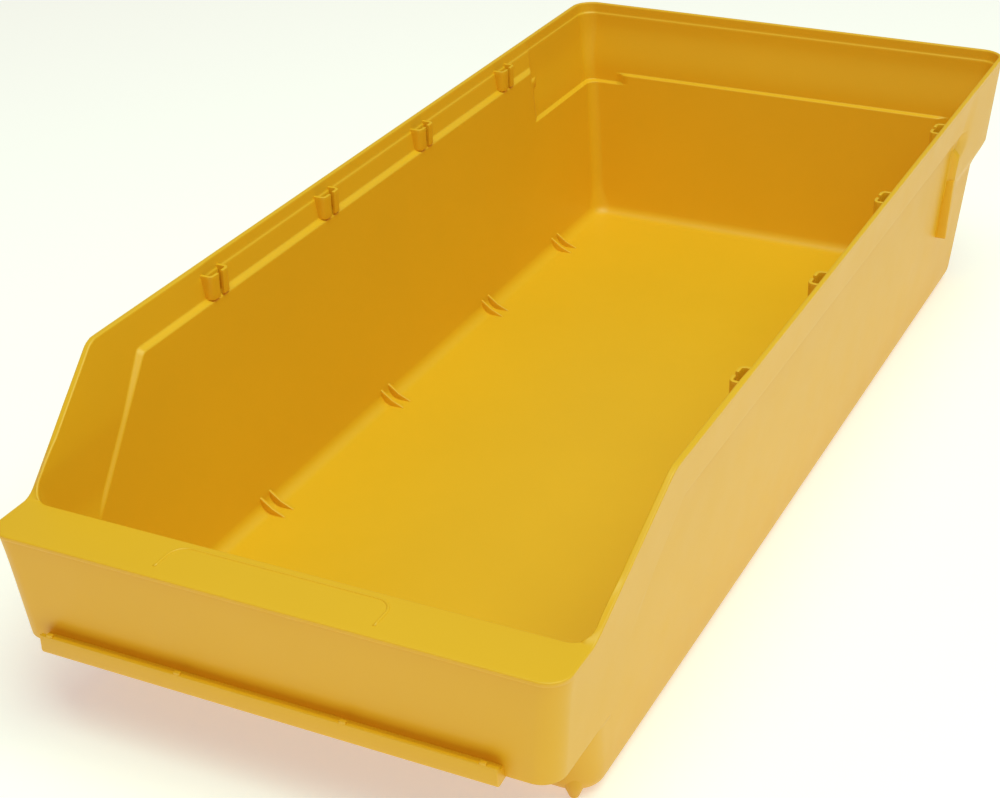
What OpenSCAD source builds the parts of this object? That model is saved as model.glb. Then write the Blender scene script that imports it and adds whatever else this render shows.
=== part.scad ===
// Stackable open-front storage bin, moulded in one piece.
// Origin: centre of the base. +Z is up. The open, low front faces -Y. Millimetres.

/* [Tub] */
// Overall width across the rim
bin_w = 222; // [120:1:400]
// Overall depth, label rail to rim
bin_l = 500; // [250:1:700]
// Overall height, feet to rim
bin_h = 112; // [80:1:250]
// Wall thickness
wall = 2.5; // [1.5:0.1:4]
// Half width where the drafted side meets the base plane
base_half_w = 97.1; // [60:0.1:180]
// Outward lean of the side walls, millimetres per millimetre of height
side_draft = 0.092; // [0:0.001:0.2]
// Radius of the lower edge along the sides and back
cove_r = 8; // [4:0.5:20]
// Radius of the lower edge along the front
front_cove_r = 12; // [4:0.5:25]

/* [Rim and skirt] */
// Outward lean of the rim band
band_draft = 0.165; // [0:0.001:0.4]
// Height of the underside of the rim band
band_z = 91; // [60:0.5:105]
// Height of the step inside the rim band
ledge_z = 98.5; // [60:0.5:108]
// Height where the back skirt leaves the back wall
skirt_z = 60; // [40:0.5:85]
// Height of the step inside the back skirt
skirt_ledge_z = 77; // [50:0.5:100]
// Rear edge of the side walls in front of the skirt
skirt_y = 179; // [100:1:230]
// Corner radius of the rim at the back
rim_corner_r = 11.5; // [5:0.5:30]
// Corner radius of the tub at the back
corner_r = 11; // [4:0.5:30]

/* [Front] */
// Height of the lip
lip_z = 75.4; // [50:0.1:110]
// Front face of the lip
lip_front = 249.2; // [200:0.1:340]
// Depth of the front wall's inside face at the lip
lip_back = 226.8; // [180:0.1:320]
// Where the sloping edge leaves the rim
slope_top_y = 178; // [120:1:230]
// Lower edge of the front apron
apron_z = 32.5; // [20:0.5:60]
// Corner radius of lip and apron
lip_r = 9; // [4:0.5:20]
// Left end of the label rail
rail_left = -88; // [-100:1:-20]
// Right end of the label rail
rail_right = 83; // [20:1:100]
// Top edge of the label rail
rail_top = 38.8; // [34:0.1:60]

/* [Guides and ribs] */
// Upper divider guides along each side
guide_count = 4; // [1:1:6]
// Spacing of the upper guides
guide_pitch = 84; // [40:1:120]
// Position of the rearmost upper guide
guide_rear_y = 147.4; // [60:0.1:200]
// How far the guides stand off the rim band
guide_reach = 3.8; // [2:0.1:10]
// Positions of the lower rib pairs
rib_y = [-99.5, 0.5, 100.5, 181]; // [-230:0.5:230]
// Distance between the two ribs of a pair
rib_gap = 6.6; // [3:0.1:12]
// Height of the ribs on the side wall
rib_top = 9; // [8.5:0.1:20]
// Half distance between the ribs' feet on the floor
rib_foot_x = 84.5; // [50:0.5:140]
// Thickness of guides and ribs
fin_t = 1.3; // [0.8:0.1:3]

/* [Part] */
// Node to draw

/* [Hidden] */
seg = 8;               // steps round each moulded corner
front_split = -196;    // plane between side walls and front corners
rear_split = 222;      // plane between side walls and rear corners
front_x_split = 80;    // plane between front wall and front corners
rear_x_split = 82;     // plane between back wall and rear corners
apron_split = -228;    // plane between front corners and apron ends
back_y = 235.4;        // back wall's outside face at the base
back_draft = 0.1;
skirt_back_draft = 0.044;
skirt_side_draft = 0.087;
skirt_step = 11.2;     // height of the skirt's sloping underside
band_step = 2.2;       // height of the rim band's sloping underside
front_corner_r = 12;   // front corner radius at the base
front_top_r = 10;      // front corner radius under the lip
front_base_y = -202;   // where the flat base ends
front_slope = 0.246;
apron_t = 2.3;
lip_t = 2.3;
step_top_y = -155;     // where the rim band's step turns down
step_slope = 1.222;
apron_draft = 0.094;
half_w = bin_w / 2;
merge_z = (base_half_w + band_draft * bin_h - half_w) / (band_draft - side_draft);

// Outside of the side wall, rim band and skirt at a height
function side_x(z) = base_half_w + side_draft * z;
function band_x(z) = half_w - band_draft * (bin_h - z);
function skirt_x(z) = half_w - skirt_side_draft * (bin_h - z);
// Outside of the back wall and skirt, and of the front wall and apron, at a height
function back_at(z) = back_y + back_draft * z;
function skirt_back(z) = bin_l / 2 - skirt_back_draft * (bin_h - z);
front_draft_angle = atan(front_slope);
front_0 = front_base_y - front_cove_r / cos(front_draft_angle) + front_slope * front_cove_r;
function front_at(z) = front_0 - front_slope * z;
function apron_at(z) = -lip_front + apron_draft * (lip_z - z);

// Points on an arc, from angle a to angle b
function arc_points(cx, cy, r, a, b, n) =
    [for (i = [0:n]) [cx + r * cos(a + (b - a) * i / n), cy + r * sin(a + (b - a) * i / n)]];

// Lower edge of a wall that leans out: reach is the wall line at height 0
function cove_centre(reach, lean, r) = reach + lean * r - r / cos(atan(lean));
function cove_outer(reach, lean, r) =
    arc_points(cove_centre(reach, lean, r), r, r, -90, -atan(lean), seg);
function cove_inner(reach, lean, r) =
    arc_points(cove_centre(reach, lean, r), r, r - wall, -90, -atan(lean), seg);
function reversed(list) = [for (i = [len(list) - 1:-1:0]) list[i]];

side_cove_x = cove_centre(base_half_w, side_draft, cove_r);
back_cove_y = cove_centre(back_y, back_draft, cove_r);

// Sections as [distance out, height], outside face first, then the inside face going down
function wall_section(reach, lean, r, top) = concat(
    cove_outer(reach, lean, r),
    [[reach + lean * top, top], [reach + lean * top - wall, top]],
    reversed(cove_inner(reach, lean, r))
);
function side_section(top) = wall_section(base_half_w, side_draft, cove_r, top);
function back_section(top) = wall_section(back_y, back_draft, cove_r, top);
function front_section(top) = wall_section(-front_0, front_slope, front_cove_r, top);

band_section = [
    [side_x(band_z), band_z],
    [band_x(band_z + band_step), band_z + band_step],
    [half_w, bin_h],
    [half_w - wall, bin_h],
    [band_x(ledge_z) - wall, ledge_z],
    [side_x(ledge_z - 1) - wall, ledge_z - 1],
    [side_x(band_z) - wall, band_z]
];
skirt_side_section = [
    [side_x(skirt_z), skirt_z],
    [skirt_x(skirt_z + skirt_step), skirt_z + skirt_step],
    [half_w, bin_h],
    [half_w - wall, bin_h],
    [skirt_x(skirt_ledge_z) - wall, skirt_ledge_z],
    [side_x(skirt_ledge_z - 1.5) - wall, skirt_ledge_z - 1.5],
    [side_x(skirt_z) - wall, skirt_z]
];
skirt_back_section = [
    [back_at(skirt_z), skirt_z],
    [skirt_back(skirt_z + skirt_step), skirt_z + skirt_step],
    [bin_l / 2, bin_h],
    [bin_l / 2 - wall, bin_h],
    [skirt_back(skirt_ledge_z) - wall, skirt_ledge_z],
    [back_at(skirt_ledge_z - 1.5) - wall, skirt_ledge_z - 1.5],
    [back_at(skirt_z) - wall, skirt_z]
];

// Draws a [distance out, height] section along Y on one side, from y0 to y1
module along_side(side, y0, y1) {
    mirror([side < 0 ? 1 : 0, 0, 0])
        translate([0, y1, 0]) rotate([90, 0, 0]) linear_extrude(y1 - y0) children();
}
// Draws a [distance out, height] section along X; facing is 1 for the back and -1 for the front
module across(facing, x0, x1) {
    translate([x0, 0, 0]) rotate([90, 0, 90]) linear_extrude(x1 - x0)
        scale([facing, 1]) children();
}

// Sweeps matching side and end sections round a corner. Each entry of the sections is
// [distance out, height]; centre(i) gives the corner's own centre for entry i.
function corner_station(side_pts, end_pts, centres, a, facing) = [
    for (i = [0:len(side_pts) - 1])
        let (c = centres[i])
        [
            c[0] + (side_pts[i][0] - c[0]) * cos(a),
            facing * (c[1] + (end_pts[i][0] - c[1]) * sin(a)),
            side_pts[i][1] + (end_pts[i][1] - side_pts[i][1]) * pow(sin(a), 2)
        ]
];
function on_plane(pts, axis, value) =
    [for (p = pts) [axis == 0 ? value : p[0], axis == 1 ? value : p[1], p[2]]];

module corner_solid(side_pts, end_pts, centres, facing, x_split, y_split) {
    arc_stations = [
        for (k = [0:seg]) corner_station(side_pts, end_pts, centres, 90 * k / seg, facing)
    ];
    first = on_plane(arc_stations[0], 1, y_split);
    last = on_plane(arc_stations[seg], 0, x_split);
    first_needed = max([for (c = centres) abs(facing * c[1] - y_split)]) > 0.001;
    last_needed = max([for (c = centres) abs(c[0] - x_split)]) > 0.001;
    stations = concat(
        first_needed ? [first] : [], arc_stations, last_needed ? [last] : []
    );
    n = len(side_pts);
    m = len(stations);
    points = [for (s = stations) each s];
    sides = [
        for (k = [0:m - 2], i = [0:n - 1])
            let (a = k * n + i, b = k * n + (i + 1) % n)
            each [[a, b, b + n], [a, b + n, a + n]]
    ];
    start_cap = [[for (i = [n - 1:-1:0]) i]];
    end_cap = [[for (i = [0:n - 1]) (m - 1) * n + i]];
    faces = concat(sides, start_cap, end_cap);
    flip = facing < 0;
    polyhedron(points, flip ? [for (f = faces) reversed(f)] : faces);
}

// Centre of the tub's rear corner at a height; it stays put below the top of the lower edge
function rear_centre(z) =
    let (at = max(z, cove_r))
    [side_x(at) - corner_r, back_at(at) - corner_r];
rim_centre = [half_w - rim_corner_r, bin_l / 2 - rim_corner_r];
rear_centres_low = [for (p = side_section(skirt_z)) rear_centre(p[1])];
rear_centres_high = [
    for (p = skirt_side_section)
        let (t = (p[1] - skirt_z) / (bin_h - skirt_z))
        rear_centre(skirt_z) * (1 - t) + rim_centre * t
];
front_centres = front_corner_centres(side_section(lip_z - lip_t));

// Centre of the tub's front corner at the height of each section entry
function front_corner_centres(section) = [
    for (p = section)
        let (r = front_corner_r + (front_top_r - front_corner_r) * p[1] / lip_z)
        [side_x(p[1]) - r, -front_at(p[1]) - r]
];

module floor_outline() {
    front_c = [base_half_w - front_corner_r, front_0 + front_corner_r];
    rear = [
        for (k = [0:seg])
            let (a = 90 * k / seg, c = rear_centres_low[0])
            [
                c[0] + (side_cove_x - c[0]) * cos(a),
                c[1] + (back_cove_y - c[1]) * sin(a)
            ]
    ];
    front = [
        for (k = [seg:-1:0])
            let (a = 90 * k / seg)
            [
                front_c[0] + (side_cove_x - front_c[0]) * cos(a),
                front_c[1] + (front_base_y - front_c[1]) * sin(a)
            ]
    ];
    half = concat(front, rear);
    polygon(concat(half, [for (p = reversed(half)) [-p[0], p[1]]]));
}

module floor_panel() {
    color("gold") linear_extrude(wall) floor_outline();
}

module side_wall(side) {
    color("goldenrod") intersection() {
        along_side(side, front_split, rear_split) polygon(side_section(band_z));
        across(1, -bin_w, bin_w) polygon([
            [front_split, 0], [rear_split, 0], [rear_split, skirt_z], [skirt_y, skirt_z],
            [skirt_y, band_z], [step_y(band_z), band_z], [step_y(merge_z), merge_z],
            [front_split, merge_z]
        ]);
    }
}
// Line where the rim band turns down behind the sloping edge
function step_y(z) = step_top_y - (ledge_z - z) / step_slope;

module rim_band(side) {
    color("gold") along_side(side, step_y(band_z), skirt_y) polygon(band_section);
}

module cheek(side) {
    color("gold") intersection() {
        along_side(side, -lip_back - 5, step_y(band_z)) polygon([
            [side_x(merge_z), merge_z], [half_w, bin_h], [half_w - wall, bin_h],
            [side_x(merge_z) - wall, merge_z]
        ]);
        across(1, -bin_w, bin_w) polygon([
            [step_y(band_z), bin_h], [-slope_top_y, bin_h], [-lip_back, lip_z],
            [front_split, lip_z], [front_split, merge_z], [step_y(merge_z), merge_z],
            [step_y(band_z), band_z]
        ]);
    }
}

module skirt_side(side) {
    color("gold") union() {
        along_side(side, skirt_y, rear_split) polygon(skirt_side_section);
        // End wall that closes the step between the side wall and the skirt
        along_side(side, skirt_y, skirt_y + wall) polygon([
            [side_x(skirt_z), skirt_z], [skirt_x(skirt_z + skirt_step), skirt_z + skirt_step],
            [half_w, bin_h], [half_w - wall, bin_h], [band_x(ledge_z) - wall, ledge_z],
            [side_x(ledge_z - 1) - wall, ledge_z - 1], [side_x(skirt_z) - wall, skirt_z]
        ]);
    }
}

module mirrored(side) {
    mirror([side < 0 ? 1 : 0, 0, 0]) children();
}

module rear_corner(side) {
    color("goldenrod") mirrored(side) corner_solid(
        side_section(skirt_z), back_section(skirt_z), rear_centres_low,
        1, rear_x_split, rear_split
    );
}
module skirt_corner(side) {
    color("gold") mirrored(side) corner_solid(
        skirt_side_section, skirt_back_section, rear_centres_high,
        1, rear_x_split, rear_split
    );
}
module tub_front_corner(side) {
    top = lip_z - lip_t;
    mirrored(side) corner_solid(
        side_section(top), front_section(top), front_centres,
        -1, front_x_split, front_split
    );
}
module front_corner(side) {
    top = lip_z - lip_t;
    color("goldenrod") union() {
        tub_front_corner(side);
        along_side(side, apron_split, front_split - 9) polygon([
            [side_x(apron_z), apron_z], [side_x(top), top],
            [side_x(top) - apron_t, top], [side_x(apron_z) - apron_t, apron_z]
        ]);
    }
}

module rear_wall() {
    color("goldenrod") across(1, -rear_x_split, rear_x_split) polygon(back_section(skirt_z));
}
module rear_skirt() {
    color("gold") across(1, -rear_x_split, rear_x_split) polygon(skirt_back_section);
}
module front_wall() {
    color("goldenrod") across(-1, -front_x_split, front_x_split)
        polygon(front_section(lip_z - lip_t));
}

module front_lip() {
    inner_x = side_x(lip_z) - wall;
    outer_x = band_x(lip_z);
    fillet = front_top_r - wall;
    color("gold") translate([0, 0, lip_z - lip_t]) linear_extrude(lip_t) difference() {
        union() {
            translate([-outer_x, -lip_front + lip_r])
                square([2 * outer_x, lip_front - lip_r + front_split]);
            translate([-outer_x + lip_r, -lip_front]) square([2 * (outer_x - lip_r), lip_r]);
            for (s = [-1, 1]) translate([s * (outer_x - lip_r), -lip_front + lip_r]) circle(lip_r);
        }
        translate([-inner_x, -lip_back + fillet]) square([2 * inner_x, lip_back]);
        translate([-inner_x + fillet, -lip_back]) square([2 * (inner_x - fillet), lip_back]);
        for (s = [-1, 1]) translate([s * (inner_x - fillet), -lip_back + fillet]) circle(fillet);
    }
}

apron_side_section = [
    [side_x(apron_z), apron_z], [side_x(lip_z - lip_t), lip_z - lip_t],
    [side_x(lip_z - lip_t) - apron_t, lip_z - lip_t], [side_x(apron_z) - apron_t, apron_z]
];
apron_front_section = [
    [-apron_at(apron_z), apron_z], [-apron_at(lip_z - lip_t), lip_z - lip_t],
    [-apron_at(lip_z - lip_t) - apron_t, lip_z - lip_t], [-apron_at(apron_z) - apron_t, apron_z]
];
apron_corner_x = side_x(apron_z) - lip_r;
apron_corner_y = -apron_at(apron_z) - lip_r;

module front_apron() {
    color("orange") across(-1, -apron_corner_x, apron_corner_x) polygon(apron_front_section);
}
module apron_end(side) {
    color("orange") mirrored(side) corner_solid(
        apron_side_section, apron_front_section,
        [for (p = apron_side_section) [apron_corner_x, apron_corner_y]],
        -1, apron_corner_x, apron_split
    );
}

module label_rail() {
    rail_t = 1.8;
    front = bin_l / 2;
    floor_z = apron_z - 1.4;
    color("orange") {
        across(-1, rail_left, rail_right) polygon([
            [-apron_at(apron_z) - apron_t, floor_z], [front - 1.4, floor_z],
            [front, floor_z + 1.4], [front, rail_top], [front - rail_t, rail_top],
            [front - rail_t, apron_z], [-apron_at(apron_z) - apron_t, apron_z]
        ]);
        for (i = [0:3])
            translate([rail_left + 4 + i * (rail_right - rail_left - 9) / 3, -front, rail_top])
                translate([-1.2, 0, 0]) cube([2.4, rail_t, 1]);
    }
}

module front_foot(side) {
    foot_x = 90;
    foot_y = -209;
    color("orange") difference() {
        translate([side * foot_x, foot_y, 0]) rotate_extrude() polygon([
            [0, 0], [1.2, 0], [1.9, 0.6], [3, 4.5], [3, 11], [0, 11]
        ]);
        front_corner_block(side);
    }
}
// The space from the front corner's outside face inward
module front_corner_block(side) {
    top = 20;
    outer_side = concat(cove_outer(base_half_w, side_draft, cove_r), [[side_x(top), top]]);
    outer_front = concat(cove_outer(-front_0, front_slope, front_cove_r), [[-front_at(top), top]]);
    inner_x = side_cove_x - 1;
    inner_y = -front_base_y - 1;
    mirrored(side) corner_solid(
        concat(outer_side, [[inner_x, top], [inner_x, 0]]),
        concat(outer_front, [[inner_y, top], [inner_y, 0]]),
        concat(
            front_corner_centres(outer_side),
            [for (i = [0:1]) front_corner_centres([[0, 0]])[0]]
        ),
        -1, front_x_split, front_split
    );
}

module skirt_rib(side) {
    rib_bottom = 42.7;
    rib_reach = 4.8;
    skirt_top = skirt_z + skirt_step;
    color("orange") along_side(side, skirt_y + 0.5, skirt_y + 6.5) polygon([
        [side_x(rib_bottom), rib_bottom],
        [side_x(rib_bottom) + rib_reach - 0.8, rib_bottom],
        [side_x(rib_bottom) + rib_reach, rib_bottom + 1.5],
        [skirt_x(skirt_top), skirt_top],
        [side_x(skirt_z), skirt_z]
    ]);
}

// Pair of hooked fins below the rim, with a slot between their tips
module upper_guide(side, index) {
    y = guide_rear_y - (guide_count - index) * guide_pitch;
    low = ledge_z;
    high = bin_h - 3.7;
    tip_r = 1.9;
    half_length = 6.3;
    half_slot = 1.3;
    reach_x = band_x(low) - wall - guide_reach;
    color("orange") intersection() {
        mirrored(side) translate([0, y, low]) linear_extrude(high - low)
            for (s = [-1, 1]) scale([1, s]) {
                translate([reach_x + tip_r, half_length - fin_t])
                    square([half_w - reach_x - tip_r, fin_t]);
                translate([reach_x, half_slot])
                    square([fin_t, half_length - tip_r - half_slot]);
                translate([reach_x + tip_r, half_length - tip_r]) intersection() {
                    difference() {
                        circle(tip_r);
                        circle(tip_r - fin_t);
                    }
                    translate([-tip_r, 0]) square(tip_r);
                }
            }
        along_side(side, y - 8, y + 8) polygon([
            [0, low], [band_x(low) - wall, low], [band_x(high) - wall, high], [0, high]
        ]);
    }
}

// Pair of low straight fins where the side wall meets the floor
module lower_ribs(side, index) {
    fin = concat(
        [[rib_foot_x, wall]],
        cove_inner(base_half_w, side_draft, cove_r),
        [[side_x(rib_top) - wall, rib_top]]
    );
    color("orange") for (s = [-1, 1])
        let (y = rib_y[index - 1] + s * rib_gap / 2)
        along_side(side, y - fin_t / 2, y + fin_t / 2) polygon(fin);
}

module left_side_wall() { side_wall(-1); }
module right_side_wall() { side_wall(1); }
module left_rim_band() { rim_band(-1); }
module right_rim_band() { rim_band(1); }
module left_cheek() { cheek(-1); }
module right_cheek() { cheek(1); }
module left_skirt_side() { skirt_side(-1); }
module right_skirt_side() { skirt_side(1); }
module rear_left_corner() { rear_corner(-1); }
module rear_right_corner() { rear_corner(1); }
module left_skirt_corner() { skirt_corner(-1); }
module right_skirt_corner() { skirt_corner(1); }
module front_left_corner() { front_corner(-1); }
module front_right_corner() { front_corner(1); }
module left_apron_end() { apron_end(-1); }
module right_apron_end() { apron_end(1); }
module left_front_foot() { front_foot(-1); }
module right_front_foot() { front_foot(1); }
module left_skirt_rib() { skirt_rib(-1); }
module right_skirt_rib() { skirt_rib(1); }
module upper_guide_left_1() { upper_guide(-1, 1); }
module upper_guide_left_2() { upper_guide(-1, 2); }
module upper_guide_left_3() { upper_guide(-1, 3); }
module upper_guide_left_4() { upper_guide(-1, 4); }
module upper_guide_right_1() { upper_guide(1, 1); }
module upper_guide_right_2() { upper_guide(1, 2); }
module upper_guide_right_3() { upper_guide(1, 3); }
module upper_guide_right_4() { upper_guide(1, 4); }
module lower_ribs_left_1() { lower_ribs(-1, 1); }
module lower_ribs_left_2() { lower_ribs(-1, 2); }
module lower_ribs_left_3() { lower_ribs(-1, 3); }
module lower_ribs_left_4() { lower_ribs(-1, 4); }
module lower_ribs_right_1() { lower_ribs(1, 1); }
module lower_ribs_right_2() { lower_ribs(1, 2); }
module lower_ribs_right_3() { lower_ribs(1, 3); }
module lower_ribs_right_4() { lower_ribs(1, 4); }

floor_panel();
left_side_wall();
right_side_wall();
left_rim_band();
right_rim_band();
left_cheek();
right_cheek();
left_skirt_side();
right_skirt_side();
rear_wall();
rear_left_corner();
rear_right_corner();
rear_skirt();
left_skirt_corner();
right_skirt_corner();
left_skirt_rib();
right_skirt_rib();
front_wall();
front_left_corner();
front_right_corner();
front_lip();
front_apron();
left_apron_end();
right_apron_end();
label_rail();
left_front_foot();
right_front_foot();
upper_guide_left_1();
upper_guide_left_2();
upper_guide_left_3();
upper_guide_left_4();
upper_guide_right_1();
upper_guide_right_2();
upper_guide_right_3();
upper_guide_right_4();
lower_ribs_left_1();
lower_ribs_left_2();
lower_ribs_left_3();
lower_ribs_left_4();
lower_ribs_right_1();
lower_ribs_right_2();
lower_ribs_right_3();
lower_ribs_right_4();
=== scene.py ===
import math

import bmesh
import bpy
from mathutils import Matrix, Vector


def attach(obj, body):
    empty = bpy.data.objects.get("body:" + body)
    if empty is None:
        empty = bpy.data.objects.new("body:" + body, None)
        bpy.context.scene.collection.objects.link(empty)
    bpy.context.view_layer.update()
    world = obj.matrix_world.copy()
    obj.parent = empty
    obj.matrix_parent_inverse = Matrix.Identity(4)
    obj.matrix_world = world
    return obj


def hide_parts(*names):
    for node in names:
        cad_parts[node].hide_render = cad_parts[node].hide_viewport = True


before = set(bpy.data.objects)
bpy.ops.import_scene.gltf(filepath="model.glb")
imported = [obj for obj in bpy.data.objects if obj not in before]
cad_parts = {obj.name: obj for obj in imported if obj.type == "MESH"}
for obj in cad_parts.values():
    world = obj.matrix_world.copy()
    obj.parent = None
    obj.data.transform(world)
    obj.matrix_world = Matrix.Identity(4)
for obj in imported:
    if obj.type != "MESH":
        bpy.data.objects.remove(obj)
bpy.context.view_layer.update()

MM = 0.001

# ---------------------------------------------------------------- sizes
HALF_W = 111.0
HALF_L = 250.0
HEIGHT = 112.0
WALL = 2.4
BASE_HALF_W = 97.1
SIDE_DRAFT = 0.092
SIDE_COVE = 8.0
EDGE_R = 0.65

# the band below the rim and its step, which turns down along the cut-away front
BAND_DRAFT = 0.165
BAND_Z = 92.0
BAND_STEP = 2.4
LEDGE_Z = 98.3
LEDGE_STEP = 1.6
CREASE_Z = 107.0
CREASE_DEPTH = 0.45
STEP_Y = -156.0
STEP_SLOPE = 0.88
TURNED_DEPTH = 1.3

# the skirt round the back
SKIRT_DRAFT = 0.087
SKIRT_BACK_DRAFT = 0.044
SKIRT_Z = 60.0
SKIRT_STEP = 11.2
SKIRT_Y = 179.4
SKIRT_FADE_Z = 83
SKIRT_LEDGE_Z = 72.6
SKIRT_LEDGE_BACK_Z = 77.6
SKIRT_LEDGE_STEP = 0.8
SKIRT_IN_Y = 171.5
BACK_BASE = 235.4
BACK_DRAFT = 0.10
REAR_R = 11.0
REAR_Y = 230

# the front of the tub, the lip and the apron that hangs from it
FRONT_COVE = 12.0
FRONT_BASE = 202.0
FRONT_SLOPE = 0.246
LIP_Z = 75.4
LIP_FRONT = 249.2
LIP_WALL = 2.4
LIP_R = 8.5
LIP_EDGE = 0.9
LIP_EDGE_R = 0.8
APRON_Z = 32.5
APRON_DRAFT = 0.094
APRON_WALL = 2.3
POCKET_Y = 206
POCKET_SLOPE = 0.2725
SCOOP_DEPTH = 0.3
SLOPE_TOP_Y = -178.0
SLOPE_LAND_Y = -225.7
SLOPE = (HEIGHT - LIP_Z) / (SLOPE_TOP_Y - SLOPE_LAND_Y)

# the small pieces
GUIDE_Y = [147.4 - 84 * i for i in (3, 2, 1, 0)]
GUIDE_HALF = 6.3
GUIDE_HALF_SLOT = 1.3
GUIDE_LOW = 98.5
GUIDE_HIGH = 108.3
GUIDE_REACH = 3.4
GUIDE_TIP_R = 2.4
FIN = 1.3
RIB_Y = [-99.5, 0.5, 100.5, 181.0]
RIB_HALF_GAP = 3.3
RIB_TOP = 9.0
RIB_FOOT_X = 84.5
RIB_BURIED = 0.9
SKIRT_RIB_Y0, SKIRT_RIB_Y1 = 178.65, 184.8
SKIRT_RIB_LOW, SKIRT_RIB_TOP = 42.7, 72
SKIRT_RIB_REACH = 4.8
FOOT_X, FOOT_Y = 90, -209
FOOT_PROFILE = [(0.8, 0.05), (1.5, 0.4), (1.9, 1.2), (2.5, 2.8), (3.2, 4.4), (3.8, 6.5), (3.9, 12.0)]
RAIL_X0, RAIL_X1 = -88.0, 83.0
RAIL_TOP = 38.8
NUB_X = (-84, -33, 29, 78)
NUB_HALF = 1.2

# how the mesh is divided
CORNER_STEPS = 40
STRAIGHT_STEPS = 18
EDGE_STEPS = 6
MERGE_Z = 69.0
STEP_START_Z = 20
STEP_END_Z = 50.0
SHEAR_Y = -100
STEP_REAR_Y = -149
STEP_FRONT_Y = -163
SIDE_END_Y = 200
TUB_ARC = 0.5
FRONT_KINDS = ("front_side", "front_corner", "front")


def clamp(t):
    return min(1.0, max(0.0, t))


def smooth(t):
    t = clamp(t)
    return t * t * (3 - 2 * t)


def soft_max(a, b, k):
    h = max(k - abs(a - b), 0.0) / k
    return max(a, b) + h * h * k / 4


def lerp(a, b, t):
    return a + (b - a) * t


def smooth_ramp(t):
    """A straight ramp from 0 to 1 with its two ends rounded."""
    return min(max(lerp(t, smooth(t), 0.35), 0.0), 1.0)


# ---------------------------------------------------------------- wall surfaces
def side_x(z):
    """Outside of the drafted side."""
    return BASE_HALF_W + SIDE_DRAFT * z


def back_y(z):
    """Outside of the drafted back."""
    return BACK_BASE + BACK_DRAFT * z


def front_y(z):
    """Outside of the tub's own front wall, as a positive distance."""
    lean = math.atan(FRONT_SLOPE)
    return FRONT_BASE + FRONT_COVE / math.cos(lean) - FRONT_SLOPE * FRONT_COVE + FRONT_SLOPE * z


def apron_y(z):
    """Outside of the apron, as a positive distance."""
    return LIP_FRONT - LIP_EDGE + 0.6 - APRON_DRAFT * (LIP_Z - z)


def lip_edge(z):
    """The lip's edge stands a little proud of the apron below it."""
    return LIP_EDGE * smooth((z - 73.6) / 0.4 + 0.5)


def band_out(z):
    """How far the rim band stands out from the drafted side."""
    return soft_max(HALF_W - BAND_DRAFT * (HEIGHT - z) - side_x(z), 0.0, 0.6)


def skirt_side(z):
    """How far the skirt stands out from the drafted side where it is full."""
    return HALF_W - SKIRT_DRAFT * (HEIGHT - z) - side_x(z)


def skirt_back(z):
    """How far the skirt stands out from the drafted back where it is full."""
    return HALF_L - SKIRT_BACK_DRAFT * (HEIGHT - z) - back_y(z)


def step_y(z):
    """The line of the band's step where it turns down."""
    return STEP_Y - STEP_SLOPE * (LEDGE_Z - z)


def band_side(y, z, level):
    """Signed distance to the step that carries the band: positive on the band."""
    across = (step_y(z) - y) / math.hypot(1, STEP_SLOPE)
    return soft_max(z - level, across, 1.2)


def outer_x(y, z):
    """Outside of the long side, with the band and the skirt's front end, which fades out above."""
    band = band_out(z) * smooth(band_side(y, z, BAND_Z) / BAND_STEP + 0.5)
    run = lerp(1.0, 16.0, smooth((z - SKIRT_FADE_Z) / 6))
    skirt = skirt_side(z) * smooth_ramp((z - SKIRT_Z) / SKIRT_STEP) * smooth((y - SKIRT_Y + 0.8) / run)
    return side_x(z) + soft_max(band, skirt, 0.3)


def outer_back(z):
    return back_y(z) + skirt_back(z) * smooth_ramp((z - SKIRT_Z) / SKIRT_STEP)


def skirt_ledge(path_x):
    """Height of the ledge inside the skirt: it drops where the back wall ends."""
    return lerp(SKIRT_LEDGE_Z, SKIRT_LEDGE_BACK_Z, smooth((85.0 - abs(path_x)) / 1.2))


def crease(z, y):
    """The shallow groove below the rim, inside. It fades out towards the front."""
    return CREASE_DEPTH * smooth((z - CREASE_Z) / 0.8 + 0.5) * smooth((y + 112) / 6)


def inner_x(y, z):
    """Inside of the long side, with the band's ledge, its turned-down part and the skirt's ledge."""
    on_band = smooth(band_side(y, z, LEDGE_Z) / LEDGE_STEP + 0.5)
    band = band_out(z) * on_band
    turned = TURNED_DEPTH * smooth((z - 48) / 12) * on_band
    full = skirt_side(z) - 1.4 * (1 - smooth((z - 74) / 22))
    skirt = full * smooth((z - SKIRT_LEDGE_Z) / SKIRT_LEDGE_STEP + 0.5) * smooth((y - SKIRT_IN_Y) / 9)
    return side_x(z) - WALL + max(band, turned, skirt) + crease(z, y)


def inner_back(x, z):
    """Inside of the back, with the skirt's ledge."""
    full = skirt_back(z) - 3.2 * (1 - smooth((z - 79) / 24))
    stepped = full * smooth((z - skirt_ledge(x)) / SKIRT_LEDGE_STEP + 0.5)
    return back_y(z) - WALL + stepped + crease(z, REAR_Y)


def rim_top(y):
    """Height of the top edge at a place along the side."""
    t = soft_max(LIP_Z, LIP_Z + SLOPE * (y - SLOPE_LAND_Y), 2.6)
    return HEIGHT + t - soft_max(t, HEIGHT, 2.2)


# ---------------------------------------------------------------- stations round the half bin
def spread(a, b, n, first=True):
    return [a + (b - a) * i / n for i in range(0 if first else 1, n + 1)]


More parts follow.
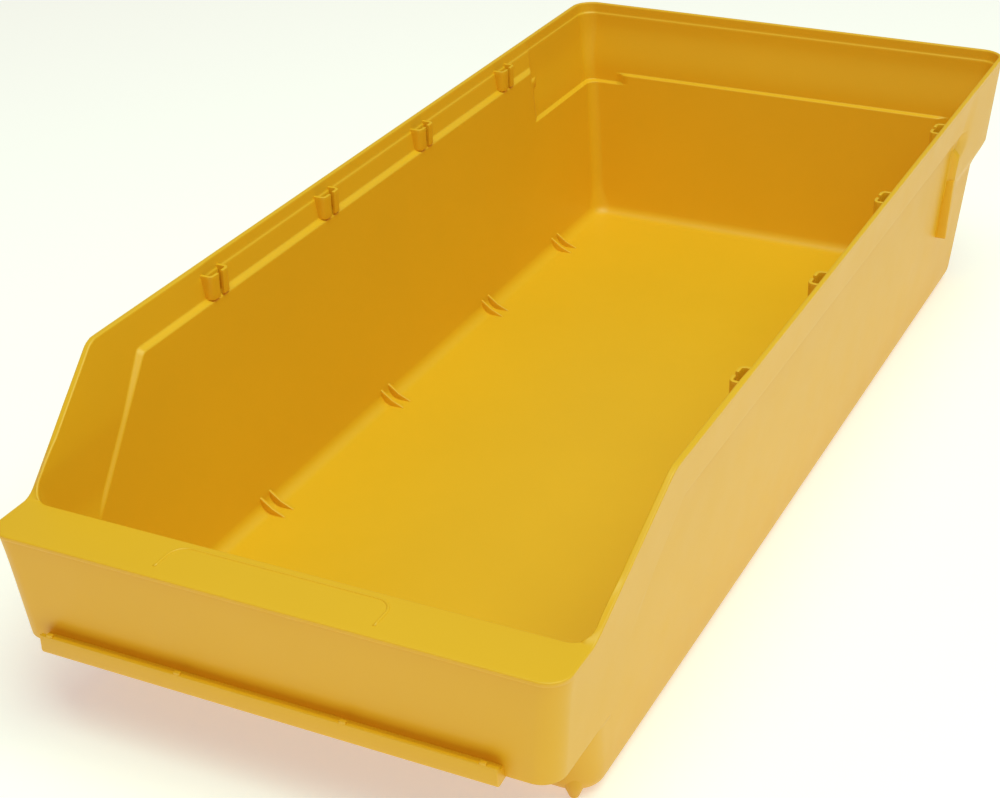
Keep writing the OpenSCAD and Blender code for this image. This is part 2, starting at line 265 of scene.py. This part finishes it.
# A station is a kind of stretch and a place on it: a Y for the side, and 0 to 1 for the others.
# They stand closer together at the skirt's front end and at the turned-down step.
side_stops = (
    spread(221, 186, 7) + spread(186, 172, 28, False) + spread(172, SHEAR_Y, 40, False)
    + spread(SHEAR_Y, STEP_REAR_Y, 10, False) + spread(STEP_REAR_Y, STEP_FRONT_Y, 28, False)
    + spread(STEP_FRONT_Y, -176, 6, False) + spread(-176, -182, 8, False) + spread(-182, -198, 8, False)
)
stations = (
    [("rear", f) for f in spread(0, 0.93, 30)] + [("rear", f) for f in spread(0.93, 1, 6, False)][:-1]
    + [("rear_corner", f) for f in spread(0, 1, 16)]
    + [("side", s) for s in side_stops]
    + [("front_side", f) for f in spread(0, 1, 16)]
    + [("front_corner", f) for f in spread(0, 1, CORNER_STEPS, False)]
    + [("front", f) for f in spread(0, 1, 60, False)]
)


def step_share(z):
    """How closely the columns follow the turned-down step at a height: not at all near the floor."""
    return clamp((z - STEP_START_Z) / (STEP_END_Z - STEP_START_Z))


def side_end(z):
    """Where the side stations stop and the front ones start."""
    return SIDE_END_Y + 8 * step_share(z)


def shear(s, z):
    """Slides the columns near the turned-down step so that they follow it."""
    run = step_y(min(max(z, STEP_END_Z), LEDGE_Z)) - STEP_Y
    run *= step_share(z)
    if s > STEP_REAR_Y:
        return run * max(0.0, (SHEAR_Y - s) / (SHEAR_Y - STEP_REAR_Y))
    if s > STEP_FRONT_Y:
        return run
    return lerp(run, SIDE_END_Y - side_end(z), (STEP_FRONT_Y - s) / (STEP_FRONT_Y + SIDE_END_Y))


def rear_inner_radius(z):
    return lerp(5.4, 8.0, smooth((z - 80) / 26))


def front_radius(z):
    return lerp(12.0, 10.0, z / LIP_Z)


CORNER_START = front_y(LIP_Z) - front_radius(LIP_Z)


def bend(cx, cy, r, f):
    """A point on the front corner's arc, f = 0 at the side and 1 at the front."""
    a = f * math.pi / 2
    return cx + r * math.cos(a), -(cy + r * math.sin(a))


def apron_point(kind, f, z, inset):
    """Plan of the lip and apron. inset moves the outline inward."""
    reach = outer_x(-215, z) - inset
    front = apron_y(z) + lip_edge(z) - inset
    r = LIP_R - inset
    if kind == "front_side":
        return reach, -lerp(side_end(z), CORNER_START, f)
    if kind == "front_corner":
        straight = STRAIGHT_STEPS / CORNER_STEPS
        if f < straight:
            return reach, -lerp(CORNER_START, front - r, f / straight)
        return bend(reach - r, front - r, r, (f - straight) / (1 - straight))
    return (reach - r) * (1 - f), -front


def inner_turn(f):
    """Part of the inner front corner that is turned at a station. Its first columns keep level with the
    outer ones, as far as the place where the sloping edge lands on the lip."""
    per_f = (apron_y(LIP_Z) + lip_edge(LIP_Z) - LIP_R - CORNER_START) * CORNER_STEPS / STRAIGHT_STEPS
    landing = (-SLOPE_LAND_Y - CORNER_START) / per_f
    r = front_radius(LIP_Z) - WALL
    turned = math.asin(min(f, landing) * per_f / r) * 2 / math.pi
    return turned if f < landing else lerp(turned, 1, (f - landing) / (1 - landing))


def tub_point(kind, f, z, side, front, r, arc_at_a):
    """Plan of the tub's own front. arc_at_a is the part of the corner bent by the side stations, and
    0 on the inside of the wall."""
    cx, cy = side - r, front - r
    start = min(side_end(z), cy - 1.0)
    run = cy - start
    arc_length = arc_at_a * r * math.pi / 2
    if kind == "front_side":
        along = f * (run + arc_length)
        if along <= run:
            return side, -(start + along)
        return bend(cx, cy, r, (along - run) / (r * math.pi / 2))
    if kind == "front_corner":
        return bend(cx, cy, r, lerp(arc_at_a, 1, f) if arc_at_a else inner_turn(f))
    return cx * (1 - f), -front


def rear_point(kind, f, side, back, r):
    """Plan of the back, from its middle round the corner to the side."""
    if kind == "rear":
        return (side - r) * f, back
    a = math.pi / 2 * (1 - f)
    return side - r + r * math.cos(a), back - r + r * math.sin(a)


def outline_y(station):
    """Where a station stands on the outer outline at the rim."""
    kind, f = station
    if kind in ("rear", "rear_corner"):
        return REAR_Y
    if kind != "side":
        return apron_point(kind, f, LIP_Z, 0)[1]
    y = f
    for _ in range(12):
        y = f + shear(f, rim_top(y))
    return y


tops = [rim_top(outline_y(s)) for s in stations]


# ---------------------------------------------------------------- rows of the shell
# Heights of the rows, as on the full-height side. They stand closer together where a step crosses.
OUTER_LEVELS = [
    111.0, 109.5, 107, 104, 100, 97, 95, 94, 93.4, 93, 92.6, 92.2, 91.8, 91.4, 91, 90.5, 90, 88, 84,
    80, 76, 73.5, 72.2, 71.6, 71.2, 70.8, 70.2, MERGE_Z, 67.5, 66, 65, 64.3, 63.8, 63.4, 62.8, 62, 60,
    57, 54, 50, 47.5, 46, 44.5, 43, 41.5, 40, 38.5, 37, 35.5, 34, 33.2
]
INNER_LEVELS = [
    111.0, 109.5, 108.2, 107.5, 107.2, 107.0, 106.8, 106.5, 105.8, 104, 101.5, 100.2, 99.6, 99.2, 98.9,
    98.6, 98.3, 98, 97.7, 97.4, 97, 96.4, 95, 91, 87, 83, 79.4, 78.4, 78.05, 77.9, 77.75, 77.6, 77.45,
    77.3, 77.15, 76.8, 75.6, 73.8, 73.2, 73, 72.85, 72.7, 72.55, 72.4, 72.25, 72.1, 71.8, 70.8, 70,
    MERGE_Z, 66, 63, 60, 57, 54, 51, 48, 44, 40, 32, 26, 20, 15
]
TUB_LEVELS = (31, 27, 22, 17, 13)


def edge_radius(station, inside):
    """Radius of the rounded top edge: a little larger along the inside of the lip."""
    if inside and station[0] == "front":
        return LIP_EDGE_R
    if inside and station[0] == "front_corner":
        return lerp(EDGE_R, LIP_EDGE_R, smooth(station[1] * 2))
    return EDGE_R


def level_to_z(level, top, edge):
    """Squeezes the levels above MERGE_Z below the top edge where that is lower than the rim."""
    if level <= MERGE_Z:
        return level
    return MERGE_Z + (level - MERGE_Z) * (top - edge - MERGE_Z) / (HEIGHT - EDGE_R - MERGE_Z)


def wall_point(station, z, inside, inset=0.0):
    """Plan of the wall's face at a height. inset moves it into the wall."""
    kind, f = station
    if kind in ("rear", "rear_corner"):
        if not inside:
            return rear_point(kind, f, outer_x(REAR_Y, z) - inset, outer_back(z) - inset, REAR_R - inset)
        side = inner_x(REAR_Y, z) + inset
        r = rear_inner_radius(z) + inset
        path_x = (side - r) * f if kind == "rear" else 100
        return rear_point(kind, f, side, inner_back(path_x, z) + inset, r)
    if kind == "side":
        y = f + shear(f, z)
        return (inner_x(y, z) + inset if inside else outer_x(y, z) - inset), y
    if not inside:
        return apron_point(kind, f, z, inset)
    r = front_radius(z) - WALL + inset
    y = -lerp(side_end(z), 226, f) if kind == "front_side" else -226
    return tub_point(kind, f, z, inner_x(y, z) + inset, front_y(z) - WALL + inset, r, 0.0)


def wall_row(level, inside):
    row = []
    for s, top in zip(stations, tops):
        z = level_to_z(level, top, edge_radius(s, inside))
        row.append((*wall_point(s, z, inside), z))
    return row


def edge_row(a, inside):
    """Rounded edge: a = 0 on the wall, 1 on the top."""
    angle = a * math.pi / 2
    row = []
    for s, top in zip(stations, tops):
        r = edge_radius(s, inside)
        z = top - r * (1 - math.sin(angle))
        row.append((*wall_point(s, z, inside, r * (1 - math.cos(angle))), z))
    return row


def blend_rows(r0, r1, t):
    return [tuple(lerp(p, q, t) for p, q in zip(a, b)) for a, b in zip(r0, r1)]


def cove_entries(reach, lean, r, thick, n=10):
    """Section of a lower edge from the wall line round to the flat base."""
    c = reach + lean * r - r / math.cos(math.atan(lean))
    angles = [lerp(-math.atan(lean), -math.pi / 2, i / n) for i in range(n + 1)]
    return [(c + (r - thick) * math.cos(a), r + (r - thick) * math.sin(a)) for a in angles]


def low_point(s, side, back, front, arc_at_a):
    """A point of the lower edge. side, back and front are (reach, z) on their own sections."""
    kind, f = s
    reach, z = side
    if kind in ("rear", "rear_corner"):
        r = max(reach - (side_x(z) - REAR_R), 1.0)
        x, y = rear_point(kind, f, reach, back[0], r)
        w = 1.0 if kind == "rear" else math.sin(math.pi / 2 * (1 - f)) ** 2
        return x, y, lerp(z, back[1], w)
    if kind == "side":
        return reach, f, z
    r = max(reach - (side_x(z) - front_radius(z)), 1.0)
    x, y = tub_point(kind, f, z, reach, front[0], r, arc_at_a)
    if kind == "front":
        return x, y, front[1]
    turned = clamp((reach - x) / r)
    return x, y, lerp(z, front[1], 1 - (1 - turned) ** 2)


def cove_rows(thick, arc_at_a):
    """Rows round the lower edge, outside if thick is 0."""
    side = cove_entries(BASE_HALF_W, SIDE_DRAFT, SIDE_COVE, thick)
    back = cove_entries(BACK_BASE, BACK_DRAFT, SIDE_COVE, thick)
    front = cove_entries(front_y(0), FRONT_SLOPE, FRONT_COVE, thick)
    return [[low_point(s, *sections, arc_at_a) for s in stations] for sections in zip(side, back, front)]


def tub_outer(s, z):
    """Outside of the tub below the apron."""
    kind, f = s
    if kind not in FRONT_KINDS:
        return wall_point(s, z, False)
    return tub_point(kind, f, z, side_x(z), front_y(z), front_radius(z), TUB_ARC)


def recess(s):
    """How far the tub stands inside the drafted side at the apron's lower edge."""
    if s[0] != "front_side":
        return math.inf
    return side_x(APRON_Z) - tub_outer(s, APRON_Z)[0]


def apron_edge_row(rise, inset):
    """Rounded lower edge of the apron."""
    z = APRON_Z + rise
    row = []
    for s in stations:
        if s[0] in FRONT_KINDS:
            x, y = apron_point(s[0], s[1], z, min(inset, max(recess(s), 0.0)))
        else:
            x, y = wall_point(s, z, False)
        row.append((x, y, z))
    return row


POCKET_PATH = (
    [("apron", t) for t in (0.0, 0.03, 0.5, 0.97, 1.0)] + [("tub", t) for t in (1.0, 0.97, 0.5, 0.0)]
)


def pocket_column(s):
    """From the apron's lower edge, up its inside, and down the tub's outside."""
    kind, f = s
    if kind not in FRONT_KINDS or recess(s) <= APRON_WALL + 0.2:
        return [(*tub_outer(s, APRON_Z), APRON_Z)] * len(POCKET_PATH)
    ceiling = LIP_Z - LIP_WALL
    if kind != "front":
        out_y = -apron_point(kind, f, APRON_Z, 0)[1]
        ceiling = min(ceiling, max(APRON_Z + 0.6, (out_y - POCKET_Y) / POCKET_SLOPE))
    limit = side_x(APRON_Z) - APRON_WALL - 0.4
    column = []
    for wall, t in POCKET_PATH:
        z = lerp(APRON_Z, ceiling, t)
        if wall == "apron":
            x, y = apron_point(kind, f, z, APRON_WALL)
        else:
            x, y = tub_outer(s, z)
            x = min(x, limit + SIDE_DRAFT * (z - APRON_Z))
        column.append((x, y, z))
    return column


def shrink(row, by):
    """A row a little further in, which keeps the flat base's shading flat."""
    out = []
    for x, y, z in row:
        inward = by * (1 if y > 0 else -1) * min(1.0, abs(y) / 100)
        out.append((x - by * min(1.0, x / 40), y - inward, z))
    return out


def shell_rows():
    """Rows from the middle of the floor, up the inside, over the rim, and down to the underside."""
    low_inner = cove_rows(WALL, 0.0)
    inner = [wall_row(level, True) for level in INNER_LEVELS]
    edge_in = [edge_row(i / EDGE_STEPS, True) for i in range(EDGE_STEPS + 1)]
    edge_out = [edge_row(i / EDGE_STEPS, False) for i in range(EDGE_STEPS, -1, -1)]
    flat_top = [blend_rows(edge_in[-1], edge_out[0], t) for t in (0.06, 0.2, 0.4, 0.6, 0.8, 0.94)]
    outer = [wall_row(level, False) for level in OUTER_LEVELS]
    apron_edge = [apron_edge_row(*step) for step in ((0.2, 0.0), (0.05, 0.2), (0.0, 0.45))]
    pocket = [list(row) for row in zip(*(pocket_column(s) for s in stations))]
    low_outer = [[(*tub_outer(s, z), z) for s in stations] for z in TUB_LEVELS] + cove_rows(0.0, TUB_ARC)
    return (
        [shrink(low_inner[-1], 3.0), shrink(low_inner[-1], 0.6)] + low_inner[::-1] + inner[::-1]
        + edge_in + flat_top + edge_out + outer + apron_edge + pocket + low_outer
        + [shrink(low_outer[-1], 0.6), shrink(low_outer[-1], 3.0)]
    )


def full_loop(row):
    """Right half, then its mirror image on the left, without repeating the middle."""
    left = [(-x, y, z) for x, y, z in row[-2:0:-1]]
    return list(row) + left


def press_front(point):
    """Presses the shallow hollow above and behind the label rail into the apron."""
    x, y, z = point
    if y < -240 and 33.0 < z < 50:
        ends = smooth((x - RAIL_X0 - 1.0) / 2.0) * smooth((RAIL_X1 - 1.0 - x) / 2.0)
        return x, y + SCOOP_DEPTH * ends * smooth((45.0 - z) / 7.0), z
    return point


# ---------------------------------------------------------------- making objects
def link(obj):
    bpy.context.scene.collection.objects.link(obj)


def finish_piece(name, mesh, material):
    """A smooth-shaded yellow piece from a mesh, riding on the bin."""
    for p in mesh.polygons:
        p.use_smooth = True
    mesh.materials.append(material)
    obj = bpy.data.objects.new(name, mesh)
    link(obj)
    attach(obj, "root")
    return obj


def surface_piece(name, points, faces, material):
    mesh = bpy.data.meshes.new(name)
    mesh.from_pydata([tuple(c * MM for c in p) for p in points], [], faces)
    bm = bmesh.new()
    bm.from_mesh(mesh)
    bmesh.ops.remove_doubles(bm, verts=bm.verts, dist=0.000004)
    bmesh.ops.dissolve_degenerate(bm, edges=bm.edges, dist=0.000002)
    bmesh.ops.recalc_face_normals(bm, faces=bm.faces)
    bm.to_mesh(mesh)
    bm.free()
    return finish_piece(name, mesh, material)


def bevelled(name, solids, material, node, bevel):
    """Joins closed solids, given as (points, faces), into one piece with rounded edges."""
    bm = bmesh.new()
    for points, faces in solids:
        verts = [bm.verts.new([c * MM for c in p]) for p in points]
        for face in faces:
            bm.faces.new([verts[i] for i in face])
    bmesh.ops.recalc_face_normals(bm, faces=bm.faces)
    sharp = [e for e in bm.edges if len(e.link_faces) == 2 and e.calc_face_angle() > math.radians(28)]
    bmesh.ops.bevel(bm, geom=sharp, offset=bevel * MM, segments=3, profile=0.5, affect="EDGES")
    mesh = bpy.data.meshes.new(name)
    bm.to_mesh(mesh)
    bm.free()
    obj = finish_piece(name, mesh, material)
    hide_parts(node)


def prism_y(outline, a, b):
    """A closed prism of an (x, z) outline, from y = a to y = b."""
    return loft([[(x, y, z) for x, z in outline] for y in (a, b)])


def prism_x(outline, a, b):
    """A closed prism of a (y, z) outline, from x = a to x = b."""
    return loft([[(x, y, z) for y, z in outline] for x in (a, b)])


def loft(sections):
    """A closed solid through matching rings of points."""
    n = len(sections[0])
    points = [p for ring in sections for p in ring]
    faces = [tuple(range(n)), tuple(range(len(points) - 1, len(points) - n - 1, -1))]
    for start in range(0, len(points) - n, n):
        for i in range(n):
            j = (i + 1) % n
            faces.append((start + i, start + j, start + n + j, start + n + i))
    return points, faces


# ---------------------------------------------------------------- shell and small pieces
def bin_shell(material):
    loops = [[press_front(p) for p in full_loop(r)] for r in shell_rows()]
    n = len(loops[0])
    points = [p for loop in loops for p in loop]
    faces = []
    for k in range(len(loops) - 1):
        for i in range(n):
            a, b = k * n + i, k * n + (i + 1) % n
            faces.append((a, b, b + n, a + n))
    faces.append(tuple(range(n)))
    faces.append(tuple((len(loops) - 1) * n + i for i in reversed(range(n))))
    return surface_piece("bin_shell", points, faces, material)


def guide_fin(side, y_mid, turn):
    """One hooked fin below the rim; turn is 1 when its tip points towards +Y."""
    quarter = [math.pi / 2 * i / 6 for i in range(7)]
    end = HALF_W - BAND_DRAFT * (HEIGHT - GUIDE_LOW) - WALL - GUIDE_REACH
    slot = GUIDE_HALF - GUIDE_HALF_SLOT
    tip = GUIDE_TIP_R
    bend_r = tip - FIN
    outer = [(end + tip - tip * math.sin(a), tip - tip * math.cos(a)) for a in quarter]
    inner = [(end + tip - bend_r * math.sin(a), tip - bend_r * math.cos(a)) for a in quarter[::-1]]
    rings = []
    for z in (GUIDE_LOW, 101, 104, 106.5, GUIDE_HIGH):
        base = HALF_W - BAND_DRAFT * (HEIGHT - z) - WALL + 0.9
        ring = [(base, 0.0)] + outer + [(end, slot), (end + FIN, slot)] + inner + [(base, FIN)]
        rings.append([(side * x, y_mid + turn * (y - GUIDE_HALF), z) for x, y in ring])
    return loft(rings)


def upper_guides(side, word, material):
    for i, y in enumerate(GUIDE_Y, 1):
        node = f"upper_guide_{word}_{i}"
        fins = [guide_fin(side, y, 1), guide_fin(side, y, -1)]
        bevelled("look_" + node, fins, material, node, 0.22)


def rib_fin(side, y):
    """One low straight fin from the wall to the floor across the rounded lower edge."""
    wall_x = side_x(RIB_TOP) - WALL
    back = [(wall_x + RIB_BURIED, RIB_TOP)]
    back += cove_entries(BASE_HALF_W, SIDE_DRAFT, SIDE_COVE, WALL - RIB_BURIED)
    back += [(RIB_FOOT_X, WALL - RIB_BURIED)]
    ring = back + [(RIB_FOOT_X, WALL + 0.2), (90.2, 5.1), (wall_x - 0.2, RIB_TOP)]
    return prism_y([(side * x, z) for x, z in ring], y - FIN / 2, y + FIN / 2)


def lower_ribs(side, word, material):
    for i, y in enumerate(RIB_Y, 1):
        node = f"lower_ribs_{word}_{i}"
        fins = [rib_fin(side, y - RIB_HALF_GAP), rib_fin(side, y + RIB_HALF_GAP)]
        bevelled("look_" + node, fins, material, node, 0.3)


def skirt_rib(side, word, material):
    """The rib under the front end of the skirt."""
    low, top = SKIRT_RIB_LOW, SKIRT_RIB_TOP
    skirt = HALF_W - SKIRT_DRAFT * (HEIGHT - top)
    outline = [
        (side_x(low) - 1, low), (side_x(low) + SKIRT_RIB_REACH, low),
        (skirt - 0.05, top), (side_x(top) - 1, top)
    ]
    rib = prism_y([(side * x, z) for x, z in outline], SKIRT_RIB_Y0, SKIRT_RIB_Y1)
    bevelled(f"look_{word}_skirt_rib", [rib], material, f"{word}_skirt_rib", 0.5)


def front_foot(side, word, material, n=32):
    """The small cone under the front floor edge."""
    turns = [2 * math.pi * i / n for i in range(n)]
    rings = [
        [(side * FOOT_X + r * math.cos(a), FOOT_Y + r * math.sin(a), z) for a in turns]
        for r, z in FOOT_PROFILE
    ]
    bevelled(f"look_{word}_front_foot", [loft(rings)], material, f"{word}_front_foot", 0.1)


def label_rail(material):
    """The label holder along the apron's lower edge, with its four nubs."""
    front = HALF_L
    back = apron_y(APRON_Z) - 1.6
    base = APRON_Z - 1.4
    section = [
        (-back, base + 0.6), (-(front - 1.6), base), (-(front - 0.4), base + 0.7),
        (-front, base + 1.8), (-front, RAIL_TOP), (-(front - 1.7), RAIL_TOP),
        (-(front - 2.0), 37.6), (-(front - 3.2), 36.9), (-back, 36.6)
    ]
    nub = [(-front + 0.1, 38.2), (-front + 0.1, 39.7), (-front + 1.5, 39.7), (-front + 1.5, 38.2)]
    solids = [prism_x(section, RAIL_X0, RAIL_X1)]
    solids += [prism_x(nub, x - NUB_HALF, x + NUB_HALF) for x in NUB_X]
    bevelled("look_label_rail", solids, material, "label_rail", 0.3)


def panel_line(material):
    """The blank outlined panel on the lip: a thin raised line, open towards the front."""
    x0, x1 = -41.0, 39.5
    rear, ahead = -230.6, -244.3
    r = 6.0
    turn_y = rear - r
    turns = [math.pi / 2 * i / 8 for i in range(9)]
    path = [(x0, ahead + (turn_y - ahead) * i / 4) for i in range(5)]
    path += [(x0 + r - r * math.cos(a), turn_y + r * math.sin(a)) for a in turns[1:]]
    path += [(x1 - r + r * math.sin(a), turn_y + r * math.cos(a)) for a in turns]
    path += [(x1, turn_y + (ahead - turn_y) * i / 4) for i in range(1, 5)]
    section = [(-0.6, -0.2), (-0.55, 0.05), (-0.25, 0.3), (0.25, 0.3), (0.55, 0.05), (0.6, -0.2)]
    rings = []
    for i, (x, y) in enumerate(path):
        px, py = path[max(i - 1, 0)]
        qx, qy = path[min(i + 1, len(path) - 1)]
        length = math.hypot(qx - px, qy - py)
        nx, ny = -(qy - py) / length, (qx - px) / length
        rings.append([(x + nx * u, y + ny * u, LIP_Z + v) for u, v in section])
    surface_piece("lip_panel_line", *loft(rings), material)


# ---------------------------------------------------------------- material
def plastic(name, colour, roughness=0.42):
    """Moulded plastic: slightly cloudy colour and gloss, a fine grain and shallow waves."""
    mat = bpy.data.materials.new(name)
    mat.use_nodes = True
    nodes, links = mat.node_tree.nodes, mat.node_tree.links
    nodes.clear()
    out = nodes.new("ShaderNodeOutputMaterial")
    bsdf = nodes.new("ShaderNodeBsdfPrincipled")
    links.new(bsdf.outputs[0], out.inputs[0])
    coord = nodes.new("ShaderNodeTexCoord")

    def noise(scale, detail):
        n = nodes.new("ShaderNodeTexNoise")
        n.inputs["Scale"].default_value = scale
        n.inputs["Detail"].default_value = detail
        links.new(coord.outputs["Object"], n.inputs["Vector"])
        return n

    def ramp(source, low, high):
        m = nodes.new("ShaderNodeMapRange")
        m.inputs["To Min"].default_value = low
        m.inputs["To Max"].default_value = high
        links.new(source.outputs["Fac"], m.inputs["Value"])
        return m

    def bump(source, strength, distance):
        b = nodes.new("ShaderNodeBump")
        b.inputs["Strength"].default_value = strength
        b.inputs["Distance"].default_value = distance
        links.new(source.outputs["Fac"], b.inputs["Height"])
        return b

    value = ramp(noise(14, 3), 0.96, 1.04)
    hsv = nodes.new("ShaderNodeHueSaturation")
    hsv.inputs["Color"].default_value = (*colour, 1)
    links.new(value.outputs[0], hsv.inputs["Value"])
    links.new(hsv.outputs[0], bsdf.inputs["Base Color"])
    rough = ramp(noise(60, 4), roughness - 0.05, roughness + 0.06)
    links.new(rough.outputs[0], bsdf.inputs["Roughness"])
    grain = bump(noise(2600, 2), 0.06, 0.0002)
    waves = bump(noise(35, 2), 0.25, 0.0006)
    links.new(grain.outputs[0], waves.inputs["Normal"])
    links.new(waves.outputs[0], bsdf.inputs["Normal"])
    bsdf.inputs["IOR"].default_value = 1.49
    bsdf.inputs["Subsurface Weight"].default_value = 0.0
    return mat


# ---------------------------------------------------------------- the bin
yellow = plastic("yellow_polypropylene", (0.85, 0.47, 0.013))
shell = bin_shell(yellow)
own_pieces = (
    "upper_guide", "lower_ribs", "label_rail", "left_front_foot", "right_front_foot", "left_skirt_rib",
    "right_skirt_rib"
)
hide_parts(*[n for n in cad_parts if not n.startswith(own_pieces)])
for side, word in ((-1, "left"), (1, "right")):
    upper_guides(side, word, yellow)
    lower_ribs(side, word, yellow)
    skirt_rib(side, word, yellow)
    front_foot(side, word, yellow)
label_rail(yellow)
panel_line(yellow)

# ---------------------------------------------------------------- studio
FLOOR_HALF = 6
FLOOR_DROP = 0.0002


def studio_floor():
    """A pale floor, in metres, just under the bin."""
    corners = [(x * FLOOR_HALF, y * FLOOR_HALF, -FLOOR_DROP) for x, y in ((-1, -1), (1, -1), (1, 1), (-1, 1))]
    mesh = bpy.data.meshes.new("studio_floor")
    mesh.from_pydata(corners, [], [(0, 1, 2, 3)])
    obj = bpy.data.objects.new("studio_floor", mesh)
    link(obj)
    white = bpy.data.materials.new("studio_white")
    white.use_nodes = True
    inputs = white.node_tree.nodes["Principled BSDF"].inputs
    inputs["Base Color"].default_value = (0.78, 0.78, 0.78, 1)
    inputs["Emission Color"].default_value = (1, 1, 1, 1)
    inputs["Emission Strength"].default_value = 0.38
    inputs["Roughness"].default_value = 0.9
    mesh.materials.append(white)


def area_light(name, at, size, power, colour, target=(0, 0, 0.05)):
    """A soft rectangular light, in metres and watts, aimed at the target."""
    data = bpy.data.lights.new(name, "AREA")
    data.shape = "RECTANGLE"
    data.size, data.size_y = size
    data.energy = power
    data.color = colour
    obj = bpy.data.objects.new(name, data)
    obj.location = at
    obj.rotation_euler = (Vector(target) - Vector(at)).to_track_quat("-Z", "Y").to_euler()
    link(obj)


studio_floor()
area_light("key_above", at=(0.45, -0.25, 1.75), size=(1.6, 1.6), power=24, colour=(0.86, 1.26, 1.0))
area_light("fill_right", at=(1.7, -0.3, 0.5), size=(1.2, 1.0), power=0.4, colour=(1.0, 0.84, 0.80))
area_light("fill_front", at=(0.2, -2.2, 0.9), size=(1.6, 1.0), power=2, colour=(1.0, 0.70, 0.62))
world = bpy.data.worlds.new("studio")
world.use_nodes = True
world.node_tree.nodes["Background"].inputs[0].default_value = (1.0, 0.68, 0.60, 1)
world.node_tree.nodes["Background"].inputs[1].default_value = 0.36
bpy.context.scene.world = world
bpy.context.scene.view_settings.view_transform = "Standard"

# ---------------------------------------------------------------- camera
AZIMUTH, ELEVATION, ROLL = (math.radians(a) for a in (26.67, 28.43, -1.437))
CAMERA_AT = Vector((298.5, -670.7, 421.8))
look = Vector((
    -math.sin(AZIMUTH) * math.cos(ELEVATION), math.cos(AZIMUTH) * math.cos(ELEVATION), -math.sin(ELEVATION)
))
right = Vector((math.cos(AZIMUTH), math.sin(AZIMUTH), 0))
up = right.cross(look)
right_rolled = math.cos(ROLL) * right + math.sin(ROLL) * up
up_rolled = -math.sin(ROLL) * right + math.cos(ROLL) * up
cam_data = bpy.data.cameras.new("camera")
cam_data.lens = 71.42
cam_data.sensor_width = 36
camera = bpy.data.objects.new("camera", cam_data)
link(camera)
axes = Matrix((right_rolled, up_rolled, -look)).transposed().to_4x4()
camera.matrix_world = Matrix.Translation(CAMERA_AT * MM) @ axes
bpy.context.scene.camera = camera
